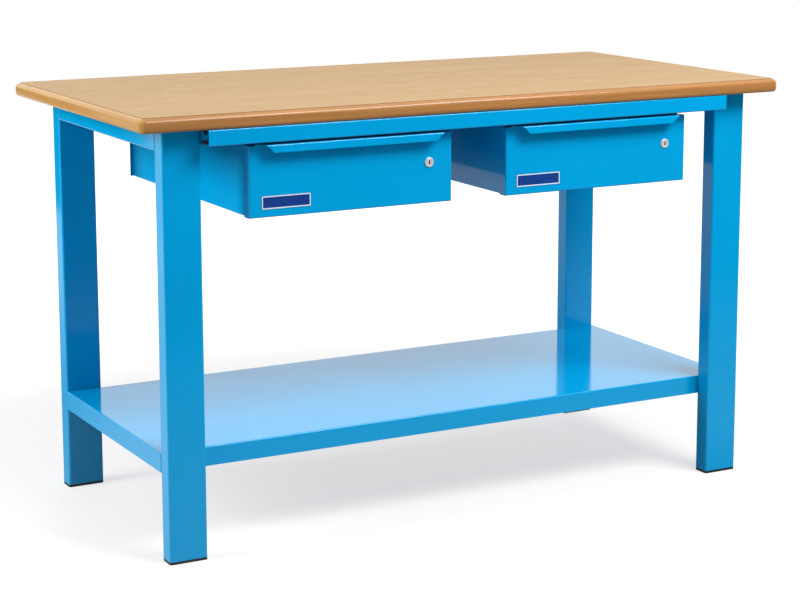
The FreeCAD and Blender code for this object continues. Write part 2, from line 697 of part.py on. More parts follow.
def outer_slides(centre):
    """The fixed members, spot-welded to the inside of the case, each with a stop at its back."""
    end = SLIDE_FRONT + SLIDE_LENGTH
    reach = SLIDE_THICKNESS - OUTER_FLANGE_GAP
    members = []
    for wall, inward in slide_sides(centre):
        member = channel_section(wall, wall + inward * reach, SLIDE_HEIGHT / 2, SLIDE_SHEET,
                                 (SLIDE_FRONT, end + SLIDE_SHEET))
        stop = block(sorted((wall, wall + inward * reach)), (end, end + SLIDE_SHEET),
                     about(SLIDE_CENTRE, SLIDE_HEIGHT / 2))
        members.append(joined([member, stop]))
    return members


def inner_slides(centre):
    """The members riveted to the sides of the drawer box."""
    y_range = (SLIDE_FRONT, SLIDE_FRONT + SLIDE_LENGTH)
    members = []
    for wall, inward in slide_sides(centre):
        web = wall + inward * SLIDE_THICKNESS
        tips = wall + inward * INNER_FLANGE_GAP
        member = channel_section(web, tips, INNER_HEIGHT / 2, SLIDE_SHEET, y_range)
        for base, axis in rivet_places(centre):
            member = member.cut(rod(base, axis, RIVET_RADIUS + HOLE_PLAY, SLIDE_SHEET))
        members.append(member)
    return members


def ball_cages(centre):
    """Cages that run at half the drawer's speed, each with an upper and a lower row of balls."""
    race = (SLIDE_HEIGHT / 2 - SLIDE_SHEET - INNER_HEIGHT / 2) / 2
    ball_radius = race - BALL_CLEARANCE
    row = INNER_HEIGHT / 2 + race
    front = SLIDE_FRONT + CAGE_TRAVEL
    y_range = (front, front + CAGE_LENGTH)
    pitch = CAGE_LENGTH / BALLS_PER_ROW
    cages = []
    for wall, inward in slide_sides(centre):
        web = wall + inward * (SLIDE_SHEET + CAGE_WEB_GAP)
        tips = web + inward * (CAGE_SHEET + CAGE_FLANGE)
        ball_x = web + inward * (CAGE_SHEET + CAGE_FLANGE / 2)
        pieces = [channel_section(web, tips, row + CAGE_SHEET / 2, CAGE_SHEET, y_range)]
        for step in range(BALLS_PER_ROW):
            y = front + pitch * (step + 0.5)
            for height in about(SLIDE_CENTRE, row):
                pieces.append(Part.makeSphere(ball_radius, Vector(ball_x, y, height)))
        cages.append(joined(pieces))
    return cages


def slide_rivets(centre):
    """Rivets through the inner members and the box's sides, with a head on each side."""
    rivets = []
    for base, axis in rivet_places(centre):
        grip = SLIDE_SHEET + BOX_SHEET
        near_head = rod(base - axis * RIVET_HEAD_HEIGHT, axis, RIVET_HEAD_RADIUS, RIVET_HEAD_HEIGHT)
        far_head = rod(base + axis * grip, axis, RIVET_HEAD_RADIUS, RIVET_HEAD_HEIGHT)
        rivets.append(joined([near_head, rod(base, axis, RIVET_RADIUS, grip), far_head]))
    return rivets


# ---- Cam locks -------------------------------------------------------------------------

def lock_axis_point(centre, y):
    return Vector(centre + LOCK_X, y, LOCK_Z)


def lock_barrel(centre):
    """The fixed housing with its round bezel in front of the panel."""
    front = PANEL_FRONT - LOCK_BEZEL_HEIGHT
    bezel = rod(lock_axis_point(centre, front), Y_AXIS, LOCK_BEZEL_RADIUS, LOCK_BEZEL_HEIGHT)
    rim = [edge for edge in bezel.Edges if abs(edge.BoundBox.YMax - front) < SMALL]
    bezel = bezel.makeChamfer(LOCK_BEZEL_BEVEL, rim)
    body = rod(lock_axis_point(centre, PANEL_FRONT), Y_AXIS, LOCK_BODY_RADIUS, LOCK_BODY_LENGTH)
    bore = rod(lock_axis_point(centre, front), Y_AXIS, LOCK_PLUG_RADIUS + LOCK_RUNNING_FIT,
               LOCK_BEZEL_HEIGHT + LOCK_BODY_LENGTH)
    return joined([bezel, body]).cut(bore)


def lock_nut(centre):
    seat = lock_axis_point(centre, PANEL_BACK + BOX_SHEET)
    return hex_nut(seat, Y_AXIS, LOCK_BODY_RADIUS, LOCK_NUT_ACROSS, LOCK_NUT_HEIGHT)


def lock_plug(centre):
    """The turning core with its keyway, and the round tail that carries the cam."""
    front = PANEL_FRONT - LOCK_BEZEL_HEIGHT + LOCK_PLUG_RECESS
    core = rod(lock_axis_point(centre, front), Y_AXIS, LOCK_PLUG_RADIUS, CAM_FRONT - front)
    tail = rod(lock_axis_point(centre, CAM_FRONT), Y_AXIS, LOCK_TAIL_RADIUS, CAM_THICKNESS)
    axis_x = centre + LOCK_X
    keyway = block(about(axis_x, KEYWAY_WIDTH / 2), (front, front + KEYWAY_DEPTH),
                   about(LOCK_Z, KEYWAY_LENGTH / 2))
    thread = rod(lock_axis_point(centre, CAM_FRONT + CAM_THICKNESS), Y_AXIS * -1,
                 CAM_SCREW_RADIUS + HOLE_PLAY, CAM_SCREW_BITE + HOLE_PLAY)
    return joined([core, tail]).cut(keyway).cut(thread)


def lock_cam(centre):
    """A flat tongue with round ends. It lies level when the drawer is unlocked."""
    y_range = (CAM_FRONT, CAM_FRONT + CAM_THICKNESS)
    root = lock_axis_point(centre, CAM_FRONT)
    tip = root - X_AXIS * CAM_REACH
    ends = [rod(point, Y_AXIS, CAM_WIDTH / 2, CAM_THICKNESS) for point in (root, tip)]
    tongue = joined([block((tip.x, root.x), y_range, about(LOCK_Z, CAM_WIDTH / 2))] + ends)
    return tongue.cut(rod(root, Y_AXIS, LOCK_TAIL_RADIUS, CAM_THICKNESS))


def cam_screw(centre):
    seat = lock_axis_point(centre, CAM_FRONT + CAM_THICKNESS)
    head = rod(seat, Y_AXIS, CAM_SCREW_HEAD_RADIUS, CAM_SCREW_HEAD_HEIGHT)
    return joined([head, rod(seat, Y_AXIS * -1, CAM_SCREW_RADIUS, CAM_SCREW_BITE)])


# ---- Assembly and export -----------------------------------------------------------------

def fixed_nodes():
    shelf_middle = (LEG_FRONT_BACK + LEG_BACK_FRONT) / 2
    front_line, rear_line = about(shelf_middle, STIFFENER_SPACING / 2)
    nodes = {
        "worktop": [worktop()],
        "crossbar_screws": crossbar_screws(),
        "rail_studs": rail_studs(),
        "rail_nuts": rail_nuts(),
        "leg_weld_nuts": leg_weld_nuts(),
        "lower_shelf": [lower_shelf()],
        "shelf_stiffener_front": [shelf_stiffener(front_line)],
        "shelf_stiffener_rear": [shelf_stiffener(rear_line)],
        "shelf_studs": shelf_studs(),
        "shelf_nuts": shelf_nuts(),
        "front_rail": [rail(True)],
        "rear_rail": [rail(False)],
        "rail_end_plates": rail_end_plates(),
        "rail_bolts": rail_bolts(),
        "case_bolts": case_bolts(),
        "case_nuts": case_nuts(),
    }
    for side_name, side in (("left", -1), ("right", 1)):
        nodes[side_name + "_crossbar"] = [crossbar(side)]
        for row_name, front in (("front", True), ("rear", False)):
            nodes[side_name + "_" + row_name + "_leg"] = [leg(side, front)]
            nodes[side_name + "_" + row_name + "_foot"] = [foot(side, front)]
    return nodes


def drawer_nodes(name, centre):
    makers = {
        "drawer_case": drawer_case,
        "case_strike": case_strike,
        "case_back": case_back_plate,
        "outer_slides": outer_slides,
        "inner_slides": inner_slides,
        "ball_cages": ball_cages,
        "slide_rivets": slide_rivets,
        "drawer_box": drawer_box,
        "drawer_front": drawer_front,
        "label_plate": label_plate,
        "lock_barrel": lock_barrel,
        "lock_nut": lock_nut,
        "lock_plug": lock_plug,
        "lock_cam": lock_cam,
        "cam_screw": cam_screw,
    }
    nodes = {}
    for part_name, make in makers.items():
        made = make(centre)
        nodes[name + "_" + part_name] = made if isinstance(made, list) else [made]
    return nodes


def main():
    os.makedirs("parts", exist_ok=True)
    nodes = fixed_nodes()
    for name, centre in DRAWER_CENTRES.items():
        nodes.update(drawer_nodes(name, centre))
    for name, solids in nodes.items():
        shape = solids[0] if len(solids) == 1 else Part.makeCompound(solids)
        shape.exportStep("parts/" + name + ".step")
        print(name, len(shape.Solids), "valid" if shape.isValid() else "INVALID", round(shape.Volume))


main()
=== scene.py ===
import json
import math

import bpy
import numpy as np
from bpy.props import FloatProperty, FloatVectorProperty, IntProperty, PointerProperty
from mathutils import Matrix, Vector

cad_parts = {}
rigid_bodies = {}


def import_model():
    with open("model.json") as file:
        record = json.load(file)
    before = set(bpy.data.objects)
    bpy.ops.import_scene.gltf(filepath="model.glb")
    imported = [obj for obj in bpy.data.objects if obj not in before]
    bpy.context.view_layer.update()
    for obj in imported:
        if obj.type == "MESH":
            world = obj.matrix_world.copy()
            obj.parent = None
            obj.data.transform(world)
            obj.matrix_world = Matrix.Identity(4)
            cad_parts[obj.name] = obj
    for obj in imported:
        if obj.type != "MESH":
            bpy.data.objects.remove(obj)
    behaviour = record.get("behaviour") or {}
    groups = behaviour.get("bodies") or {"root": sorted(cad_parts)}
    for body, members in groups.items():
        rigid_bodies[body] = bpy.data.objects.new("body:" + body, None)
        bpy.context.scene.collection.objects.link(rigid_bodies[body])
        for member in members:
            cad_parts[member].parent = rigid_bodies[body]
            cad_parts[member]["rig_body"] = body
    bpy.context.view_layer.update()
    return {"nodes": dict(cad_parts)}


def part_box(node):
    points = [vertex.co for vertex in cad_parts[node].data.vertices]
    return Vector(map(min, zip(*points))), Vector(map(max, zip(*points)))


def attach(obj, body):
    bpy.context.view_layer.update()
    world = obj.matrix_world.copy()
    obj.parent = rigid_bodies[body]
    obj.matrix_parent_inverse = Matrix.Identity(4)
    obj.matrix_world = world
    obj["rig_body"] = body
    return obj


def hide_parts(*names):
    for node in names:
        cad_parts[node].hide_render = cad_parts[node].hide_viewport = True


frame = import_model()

bl_info = {
    "name": "Workbench Finish",
    "version": (1, 0, 0),
    "blender": (4, 5, 0),
    "location": "3D View > Sidebar > Workbench",
    "description": "Dresses a steel workbench with drawers: worktop, enamel, locks, plates, "
                   "feet and studio",
    "category": "Object",
}

# ---- Places and node names -----------------------------------------------------------

SIDES = ("left", "right")
TOP_LOW, TOP_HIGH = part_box("worktop")

ENAMELLED = ["lower_shelf", "shelf_stiffener_front", "shelf_stiffener_rear",
             "front_rail", "rear_rail", "rail_end_plates"]
ENAMELLED += [side + part for side in SIDES
              for part in ("_crossbar", "_front_leg", "_rear_leg", "_drawer_case", "_case_back",
                           "_case_strike", "_drawer_box", "_drawer_front")]
ZINC_PLATED = ["crossbar_screws", "rail_studs", "rail_nuts", "leg_weld_nuts", "shelf_studs",
               "shelf_nuts", "rail_bolts", "case_bolts", "case_nuts"]
ZINC_PLATED += [side + part for side in SIDES
                for part in ("_outer_slides", "_inner_slides", "_ball_cages", "_slide_rivets",
                             "_lock_nut", "_lock_cam", "_cam_screw")]

# ---- Fixed values, lengths in metres -------------------------------------------------

# Worktop: the flat faces start at a share of the corner radius, and a share of the step's
# height eases its edges. Within a depth of either end the lipping turns a lighter, more orange
# tone: partly the end lipping's own wood, partly painted light for an end turned to the side lamp.
FACE_RIM_SHARE = 0.94
STEP_EASE_SHARE = 0.08
END_TONE_DEPTH = 0.009
END_TONE_AND_LIGHT = (0.53, 0.305, 0.080)

# Locks: sizes that no CAD box gives, and the spacing of the rings that turning leaves.
KEYWAY_HALF_WIDTH = 0.0016
KEYWAY_HALF_LENGTH = 0.0041
BARREL_RADIUS = 0.008
BORE_PLAY = 0.0001
RING_SPACING = 0.00045

# Plates: the most of the corner radius that a line's inset takes up.
CORNER_SHARE = 0.9

# Weld beads: rows of points along a bead, shares of its radius, and how deep its heel sits.
ROWS_PER_RIPPLE = 6
FEWEST_ROWS = 24
BEAD_BASE = 0.92
BEAD_CREST = 0.12
BEAD_CURVE = 0.92
LEAST_TAPER = 0.0004
HEEL_DEPTH = 0.0004

# Materials: the middle of a noise, where most of it lies; depths of bumps; tints.
NOISE_MIDDLE = (0.3, 0.7)
GRAIN_DEPTH = 0.00004
ROLLING_DEPTH = 0.000008
RING_DEPTH = 0.000006
SPARK_DEPTH = 0.00003
SCRATCH_DEPTH = 0.000004
GRIT_DEPTH = 0.00003
DUST_BLUE = (0.35, 0.55, 0.75)
ZINC_TINT = (0.55, 0.58, 0.52)
MOULDED_BLACK = (0.010, 0.010, 0.011)
SCUFFED_GREY = (0.045, 0.046, 0.050)

# Studio colours.
COOL_SHADE = (0.78, 0.93, 1.32, 1.0)
WARM_WHITE = (1.0, 1.0, 0.88, 1.0)
PLAIN_WHITE = (1.0, 1.0, 1.0, 1.0)
FLOOR_GREY = (0.395, 0.360, 0.315, 1.0)
CARD_BLACK = (0.02, 0.02, 0.02, 1.0)

# Floor: the distances over which its glow grows from the lift to full. In reflections, the
# ranges over which the dim room ends and the painted shade for the bench starts and ends.
FLOOR_CORNERS = 96
GLOW_RANGE = (1.15, 2.3)
DIM_ROOM_Y = (-2.2, 0.6)
DIM_ROOM_LEVEL = 0.02
SHADE_SLANT = 0.54
SHADE_LEFT_SLANT = (-0.75, -0.35)
SHADE_RIGHT_X = (1.1, 1.8)
SHADE_FRONT_Y = (-0.65, -0.25)
SHADE_BACK_Y = (0.9, 2.6)
SHADE_DEPTH = 0.85

# Surroundings in reflections: a range of the ray's y or z, then the levels at its ends.
ROOM_BEHIND = (-0.45, -0.05, 0.04, 1.0)
ROOM_ABOVE = (-0.08, 0.04, 0.10, 1.35)

# Soft lamps: name, place, target, size, the setting that holds the power, and whether
# reflections show the lamp.
LAMPS = (
    ("key_softbox", (1.3, -2.5, 3.5), (0, 0, 0.6), (2.2, 1.6), "key", True),
    ("overhead_softbox", (0.0, -0.2, 2.9), (0, 0, 0.5), (2.6, 2.0), "overhead", True),
    ("rear_panel", (0.6, 3.8, 1.8), (0, 0, 0.5), (2.0, 2.0), "rear", False),
    ("left_panel", (-3.45, 0.3, 1.75), (0, 0, 0.5), (1.4, 1.4), "side", False),
)

# Card beside the bench: its x and its ranges of y and z.
SIDE_CARD = (-1.2, (1.05, 2.25), (0.36, 0.90))


# ---- Settings ------------------------------------------------------------------------

class WorktopSettings(bpy.types.PropertyGroup):
    """The wooden top: its rounded edge and the colours of its face and lipping."""
    face_colour: FloatVectorProperty(
        name="Face colour", description="Mean colour of the top face", subtype="COLOR",
        size=3, min=0, max=1, default=(0.512, 0.325, 0.160))
    edge_colour: FloatVectorProperty(
        name="Edge colour", description="Mean colour of the hardwood lipping", subtype="COLOR",
        size=3, min=0, max=1, default=(0.425, 0.188, 0.054))
    corner_radius: FloatProperty(
        name="Corner radius", description="Radius of the four corners seen from above",
        unit="LENGTH", default=0.014)
    nose_radius: FloatProperty(
        name="Nose radius", description="Radius along the upper edge", unit="LENGTH", default=0.010)
    quirk: FloatProperty(
        name="Quirk", description="Height of the small step above the rounded nose",
        unit="LENGTH", default=0.0016)
    quirk_colour: FloatVectorProperty(
        name="Quirk colour", description="Colour of the laminate's cut edge, seen in the step",
        subtype="COLOR", size=3, min=0, max=1, default=(0.42, 0.235, 0.095))
    under_radius: FloatProperty(
        name="Under radius", description="Radius along the lower edge",
        unit="LENGTH", default=0.008)


class EnamelSettings(bpy.types.PropertyGroup):
    """The stove enamel on all sheet metal and tube."""
    colour: FloatVectorProperty(
        name="Colour", description="Colour of the enamel", subtype="COLOR",
        size=3, min=0, max=1, default=(0.0, 0.335, 0.635))
    roughness: FloatProperty(
        name="Roughness", description="Mean roughness of the enamel", min=0, max=1, default=0.09)
    peel_depth: FloatProperty(
        name="Orange peel", description="Depth of the fine ripple that spraying leaves",
        unit="LENGTH", default=0.000006)
    wave_depth: FloatProperty(
        name="Sheet wave", description="Depth of the long, slow waves in the sheet metal",
        unit="LENGTH", default=0.00012)


class MetalSettings(bpy.types.PropertyGroup):
    """Bare metal: zinc plating on fasteners and slides, satin chrome on the locks."""
    zinc_colour: FloatVectorProperty(
        name="Zinc colour", description="Colour of bright zinc plating", subtype="COLOR",
        size=3, min=0, max=1, default=(0.58, 0.60, 0.63))
    chrome_colour: FloatVectorProperty(
        name="Chrome colour", description="Colour of the lock's plated face", subtype="COLOR",
        size=3, min=0, max=1, default=(0.90, 0.88, 0.86))
    keyway_colour: FloatVectorProperty(
        name="Keyway colour", description="Colour of the worn metal round the keyway",
        subtype="COLOR", size=3, min=0, max=1, default=(0.42, 0.15, 0.09))


class PlateSettings(bpy.types.PropertyGroup):
    """The plain plate on each drawer front, with no words on it."""
    field_colour: FloatVectorProperty(
        name="Field colour", description="Colour of the plate's field", subtype="COLOR",
        size=3, min=0, max=1, default=(0.006, 0.045, 0.23))
    line_colour: FloatVectorProperty(
        name="Line colour", description="Colour of the raised line round the field",
        subtype="COLOR", size=3, min=0, max=1, default=(0.72, 0.82, 0.90))
    line_inset: FloatProperty(
        name="Line inset", description="From the plate's edge to the line",
        unit="LENGTH", default=0.0007)
    line_width: FloatProperty(
        name="Line width", description="Width of the raised line", unit="LENGTH", default=0.0021)


class StudioSettings(bpy.types.PropertyGroup):
    """Camera, floor and soft lights."""
    camera_place: FloatVectorProperty(
        name="Camera place", description="Where the camera stands", subtype="TRANSLATION",
        size=3, default=(-2.15598, -4.00457, 1.37727))
    camera_yaw: FloatProperty(
        name="Yaw", description="Turn of the view from +Y towards +X",
        subtype="ANGLE", default=0.49445)
    camera_pitch: FloatProperty(
        name="Pitch", description="How far the view looks down", subtype="ANGLE", default=0.17274)
    camera_roll: FloatProperty(
        name="Roll", description="Turn of the picture about the view",
        subtype="ANGLE", default=0.00161)
    focal_pixels: FloatProperty(
        name="Focal length", description="Focal length in pixels of the picture", default=2083.27)
    axis_row: FloatProperty(
        name="Axis row", description="Picture row that the optical axis meets", default=220.0)
    picture_width: IntProperty(
        name="Picture width", description="Width of the picture in pixels",
        subtype="PIXEL", default=800)
    picture_height: IntProperty(
        name="Picture height", description="Height of the picture in pixels",
        subtype="PIXEL", default=600)
    ambient: FloatProperty(
        name="Ambient", description="Strength of the even light from all round", default=0.42)
    key: FloatProperty(
        name="Key", description="Power of the high softbox in front", unit="POWER", default=170.0)
    overhead: FloatProperty(
        name="Overhead", description="Power of the softbox above the bench",
        unit="POWER", default=4.0)
    rear: FloatProperty(
        name="Rear", description="Power of the soft panel behind", unit="POWER", default=22.0)
    side: FloatProperty(
        name="Side", description="Power of the soft panel on the left", unit="POWER", default=95.0)


# ---- Meshes from grids ---------------------------------------------------------------

def grid_object(name, points, attribute=None, caps=True, close_rows=False, crease=35.0):
    """A mesh over a grid of points (rows, columns, 3) whose columns run round and close.

    Faces join each point with its neighbours. caps closes the first and last row with one face
    each, or close_rows joins the last row to the first. attribute is one value per row, stored
    as "zone", and crease is the angle in degrees above which an edge stays sharp."""
    rows, columns = points.shape[:2]
    index = np.arange(rows * columns).reshape(rows, columns)
    around = np.roll(index, -1, axis=1)
    if close_rows:
        here, there = index, np.roll(index, -1, axis=0)
        here_next, there_next = around, np.roll(around, -1, axis=0)
    else:
        here, there, here_next, there_next = index[:-1], index[1:], around[:-1], around[1:]
    faces = np.stack([here, there, there_next, here_next], axis=-1).reshape(-1, 4).tolist()
    if caps and not close_rows:
        faces += [index[0].tolist(), index[-1][::-1].tolist()]
    mesh = bpy.data.meshes.new(name)
    mesh.from_pydata(points.reshape(-1, 3).tolist(), [], faces)
    if attribute is not None:
        layer = mesh.attributes.new("zone", "FLOAT", "POINT")
        layer.data.foreach_set("value", np.repeat(np.asarray(attribute, np.float32), columns))
    mesh.polygons.foreach_set("use_smooth", np.ones(len(mesh.polygons), bool))
    mesh.set_sharp_from_angle(angle=math.radians(crease))
    mesh.validate()
    piece = bpy.data.objects.new(name, mesh)
    bpy.context.scene.collection.objects.link(piece)
    return piece


def carried_profile(low, high, corner_radius, profile, per_corner=12):
    """A profile carried round a rounded rectangle from low to high, both (x, y).

    profile is rows of (inset, height). Each point is its corner's centre plus (radius - inset)
    times the direction of its angle, with the four corners' angles in order, so that straight
    sides join them."""
    (x0, y0), (x1, y1) = low, high
    quarter = np.linspace(0, math.pi / 2, per_corner)
    angle = (quarter[None, :] + np.arange(4)[:, None] * math.pi / 2).ravel()
    left, right = x0 + corner_radius, x1 - corner_radius
    front, back = y0 + corner_radius, y1 - corner_radius
    centre_x = np.repeat([right, left, left, right], per_corner)
    centre_y = np.repeat([back, back, front, front], per_corner)
    inset, height = np.asarray(profile, float).T
    reach = corner_radius - inset[:, None]
    x = centre_x[None, :] + reach * np.cos(angle)[None, :]
    y = centre_y[None, :] + reach * np.sin(angle)[None, :]
    z = np.broadcast_to(height[:, None], x.shape)
    return np.stack([x, y, z], axis=-1)


def quarter_round(centre, radii, start, end, count=9):
    """Points (inset, height) on an ellipse, from the angle start to end in degrees.

    Inset is the centre's less the first radius times the angle's sine, and height is the
    centre's plus the second radius times its cosine."""
    angle = np.radians(np.linspace(start, end, count))
    inset, height = centre[0] - radii[0] * np.sin(angle), centre[1] + radii[1] * np.cos(angle)
    return np.stack([inset, height], axis=-1)


def turned(axis_point, profile, segments=64):
    """A closed profile of (depth, radius) turned about a line along Y through axis_point.

    Each row is a circle: x and z are the axis plus radius times cosine and sine of the angle."""
    depth, radius = np.asarray(profile, float).T
    angle = np.linspace(0, 2 * math.pi, segments, endpoint=False)
    x = axis_point[0] + radius[:, None] * np.cos(angle)[None, :]
    z = axis_point[2] + radius[:, None] * np.sin(angle)[None, :]
    y = np.broadcast_to(axis_point[1] + depth[:, None], x.shape)
    return np.stack([x, y, z], axis=-1)


# ---- Material recipes ----------------------------------------------------------------

class Nodes:
    """A node tree under construction: each call adds one node and returns its first output."""

    def __init__(self, tree):
        self.tree = tree

    def add(self, kind, inputs=(), output=0, **settings):
        node = self.tree.nodes.new("ShaderNode" + kind)
        for key, value in settings.items():
            setattr(node, key, value)
        for socket, value in dict(inputs).items():
            self.feed(node.inputs[socket], value)
        return node.outputs[output]

    def feed(self, socket, value):
        if isinstance(value, bpy.types.NodeSocket):
            self.tree.links.new(value, socket)
        else:
            socket.default_value = value

    def split(self, vector):
        """The x, y and z of a vector, as three outputs."""
        parts = self.tree.nodes.new("ShaderNodeSeparateXYZ")
        self.feed(parts.inputs[0], vector)
        return parts.outputs

    def rays(self):
        """The kinds of ray, as outputs by name that are 1 for such a ray."""
        return self.tree.nodes.new("ShaderNodeLightPath").outputs

    def seen(self, rays):
        """1 for rays from the camera, straight or through something clear."""
        return self.math("MAXIMUM", rays["Is Camera Ray"], rays["Is Transmission Ray"])

    def math(self, operation, a, b=0.0, c=0.0):
        return self.add("Math", {0: a, 1: b, 2: c}, operation=operation)

    def spread(self, value, low, high, to_low=0.0, to_high=1.0):
        """A value between low and high, carried over to the range from to_low to to_high."""
        return self.add("MapRange", {0: value, 1: low, 2: high, 3: to_low, 4: to_high})

    def middle(self, noise, to_low=0.0, to_high=1.0):
        """The middle of a noise, spread over the range from to_low to to_high."""
        return self.spread(noise, *NOISE_MIDDLE, to_low, to_high)

    def blend(self, factor, a, b):
        """The colour a where factor is 0 and b where it is 1."""
        node = self.tree.nodes.new("ShaderNodeMix")
        node.data_type = "RGBA"
        self.feed(node.inputs[0], factor)
        colours = [socket for socket in node.inputs if socket.type == "RGBA"]
        for socket, colour in zip(colours, (a, b)):
            self.feed(socket, self.solid(colour))
        return node.outputs[2]

    def solid(self, colour):
        """A colour as a socket takes it: an output as it is, a plain tuple with its alpha."""
        if isinstance(colour, bpy.types.NodeSocket):
            return colour
        return (*colour[:3], 1.0)


class Recipe(Nodes):
    """A material under construction round its own shader."""

    def __init__(self, name):
        self.material = bpy.data.materials.new(name)
        self.material.use_nodes = True
        super().__init__(self.material.node_tree)
        self.shader = self.tree.nodes["Principled BSDF"]

    def set(self, **values):
        for name, value in values.items():
            self.feed(self.shader.inputs[name.replace("_", " ")], value)

    def place(self, centre=(0, 0, 0), scale=(1, 1, 1)):
        """Object coordinates, moved so that centre is their zero, then scaled."""
        where = self.add("TexCoord", output="Object")
        moved = self.add("VectorMath", {0: where, 1: tuple(centre)}, operation="SUBTRACT")
        return self.add("Mapping", {"Vector": moved, "Scale": scale})

    def noise(self, vector, scale, detail=3.0, rough=0.5, distortion=0.0):
        return self.add("TexNoise", {"Vector": vector, "Scale": scale, "Detail": detail,
                                     "Roughness": rough, "Distortion": distortion})

    def bump(self, height, distance, normal=None):
        """The surface's direction over a height map, whose full height is distance."""
        inputs = {"Height": height, "Distance": distance, "Strength": 1.0}
        if normal is not None:
            inputs["Normal"] = normal
        return self.add("Bump", inputs)


def shaded(colour, amount):
    """A colour made darker or lighter by a factor, as a plain tuple."""
    return tuple(min(1.0, part * amount) for part in colour)


def wood_recipe(settings):
    """Lacquered beech: a calm face with fine grain and flecks, and a warmer lipping.

    The mesh's "zone" is 0 on the face, 1 in the step, 2 on the nose and 3 below it."""
    wood = Recipe("lacquered_beech")
    zone = wood.add("Attribute", output="Fac", attribute_name="zone")
    where = wood.place()
    sway = wood.noise(wood.place(scale=(0.9, 9.0, 9.0)), 2.2, 2.0)
    figure = wood.noise(wood.place(scale=(0.55, 16.0, 16.0)), 3.0, 5.0, 0.55, 0.35)
    fine = wood.noise(wood.place(scale=(5.0, 420.0, 420.0)), 1.0, 3.0, 0.6)
    pores = wood.noise(wood.place(scale=(90.0, 1100.0, 1100.0)), 1.0, 1.0, 0.5)
    fleck = wood.spread(pores, 0.60, 0.70)
    face, edge = settings.face_colour, settings.edge_colour
    face_tone = wood.blend(wood.middle(sway), shaded(face, 0.94), shaded(face, 1.06))
    for layer, share, dark in ((figure, 0.35, 0.82), (fine, 0.45, 0.76)):
        face_tone = wood.blend(wood.spread(layer, 0.35, 0.70, 0.0, share), face_tone,
                               shaded(face, dark))
    face_tone = wood.blend(wood.math("MULTIPLY", fleck, 0.55), face_tone, shaded(face, 0.50))
    streak = wood.noise(wood.place(scale=(1.6, 1.6, 120.0)), 2.0, 5.0, 0.6, 0.25)
    edge_tone = wood.blend(wood.middle(streak), shaded(edge, 0.80), shaded(edge, 1.22))
    edge_tone = wood.blend(wood.spread(fine, 0.3, 0.8, 0.0, 0.25), edge_tone, shaded(edge, 0.65))
    from_middle = wood.math("ABSOLUTE", wood.split(where)[0])
    at_end = wood.math("GREATER_THAN", from_middle, TOP_HIGH[0] - END_TONE_DEPTH)
    # Painted light: near either end the lipping is blended towards a lighter, more orange tone,
    # partly the end lipping's own wood and partly the light that an end turned to the side lamp
    # catches.
    edge_tone = wood.blend(wood.math("MULTIPLY", at_end, 0.45), edge_tone, END_TONE_AND_LIGHT)
    in_step = wood.math("COMPARE", zone, 1.0, 0.45)
    edge_tone = wood.blend(in_step, edge_tone, settings.quirk_colour)
    on_edge = wood.math("GREATER_THAN", zone, 0.5)
    tone = wood.blend(on_edge, face_tone, edge_tone)
    cloud = wood.middle(wood.noise(where, 18.0, 3.0), -0.05, 0.05)
    roughness = wood.math("ADD", wood.spread(on_edge, 0.0, 1.0, 0.62, 0.30), cloud)
    grain_height = wood.math("ADD", wood.math("MULTIPLY", fine, 0.6),
                             wood.math("MULTIPLY", fleck, -0.8))
    wood.set(Base_Color=tone, Roughness=roughness, Specular_IOR_Level=0.12,
             Coat_Weight=wood.spread(on_edge, 0.0, 1.0, 0.0, 0.42), Coat_Roughness=0.11,
             Normal=wood.bump(grain_height, GRAIN_DEPTH))
    return wood.material


def enamel_recipe(settings):
    """Glossy stove enamel: even colour, faint orange peel, slow waves in the sheet, fine dust."""
    enamel = Recipe("blue_enamel")
    where = enamel.place()
    cloud = enamel.noise(where, 3.5, 2.0)
    colour = tuple(settings.colour)
    tone = enamel.blend(enamel.middle(cloud), shaded(colour, 0.97), shaded(colour, 1.03))
    dust = enamel.spread(enamel.noise(where, 420.0, 1.0), 0.74, 0.82)
    tone = enamel.blend(enamel.math("MULTIPLY", dust, 0.07), tone, DUST_BLUE)
    rough = enamel.middle(enamel.noise(where, 11.0, 4.0, 0.6),
                          settings.roughness * 0.8, settings.roughness * 1.3)
    peel = enamel.noise(where, 260.0, 2.0)
    wave = enamel.noise(where, 4.0, 1.0)
    normal = enamel.bump(wave, settings.wave_depth)
    normal = enamel.bump(peel, settings.peel_depth, normal)
    enamel.set(Base_Color=tone, Roughness=rough, Normal=normal, Specular_IOR_Level=0.38)
    return enamel.material


def zinc_recipe(settings):
    """Bright zinc plating: pale metal with cloudy patches, fine rolling lines and a faint tint."""
    zinc = Recipe("bright_zinc")
    where = zinc.place()
    patch = zinc.add("TexVoronoi", {"Vector": where, "Scale": 160.0}, output="Color")
    patch = zinc.add("SeparateColor", {"Color": patch})
    cloud = zinc.noise(where, 25.0, 3.0)
    lines = zinc.noise(zinc.place(scale=(900.0, 12.0, 900.0)), 1.0, 2.0)
    colour = tuple(settings.zinc_colour)
    tone = zinc.blend(zinc.spread(patch, 0.0, 1.0), shaded(colour, 0.88), shaded(colour, 1.10))
    tone = zinc.blend(zinc.spread(cloud, 0.45, 0.75, 0.0, 0.3), tone, ZINC_TINT)
    rough = zinc.middle(lines, 0.22, 0.36)
    zinc.set(Base_Color=tone, Metallic=1.0, Roughness=rough,
             Normal=zinc.bump(lines, ROLLING_DEPTH))
    return zinc.material


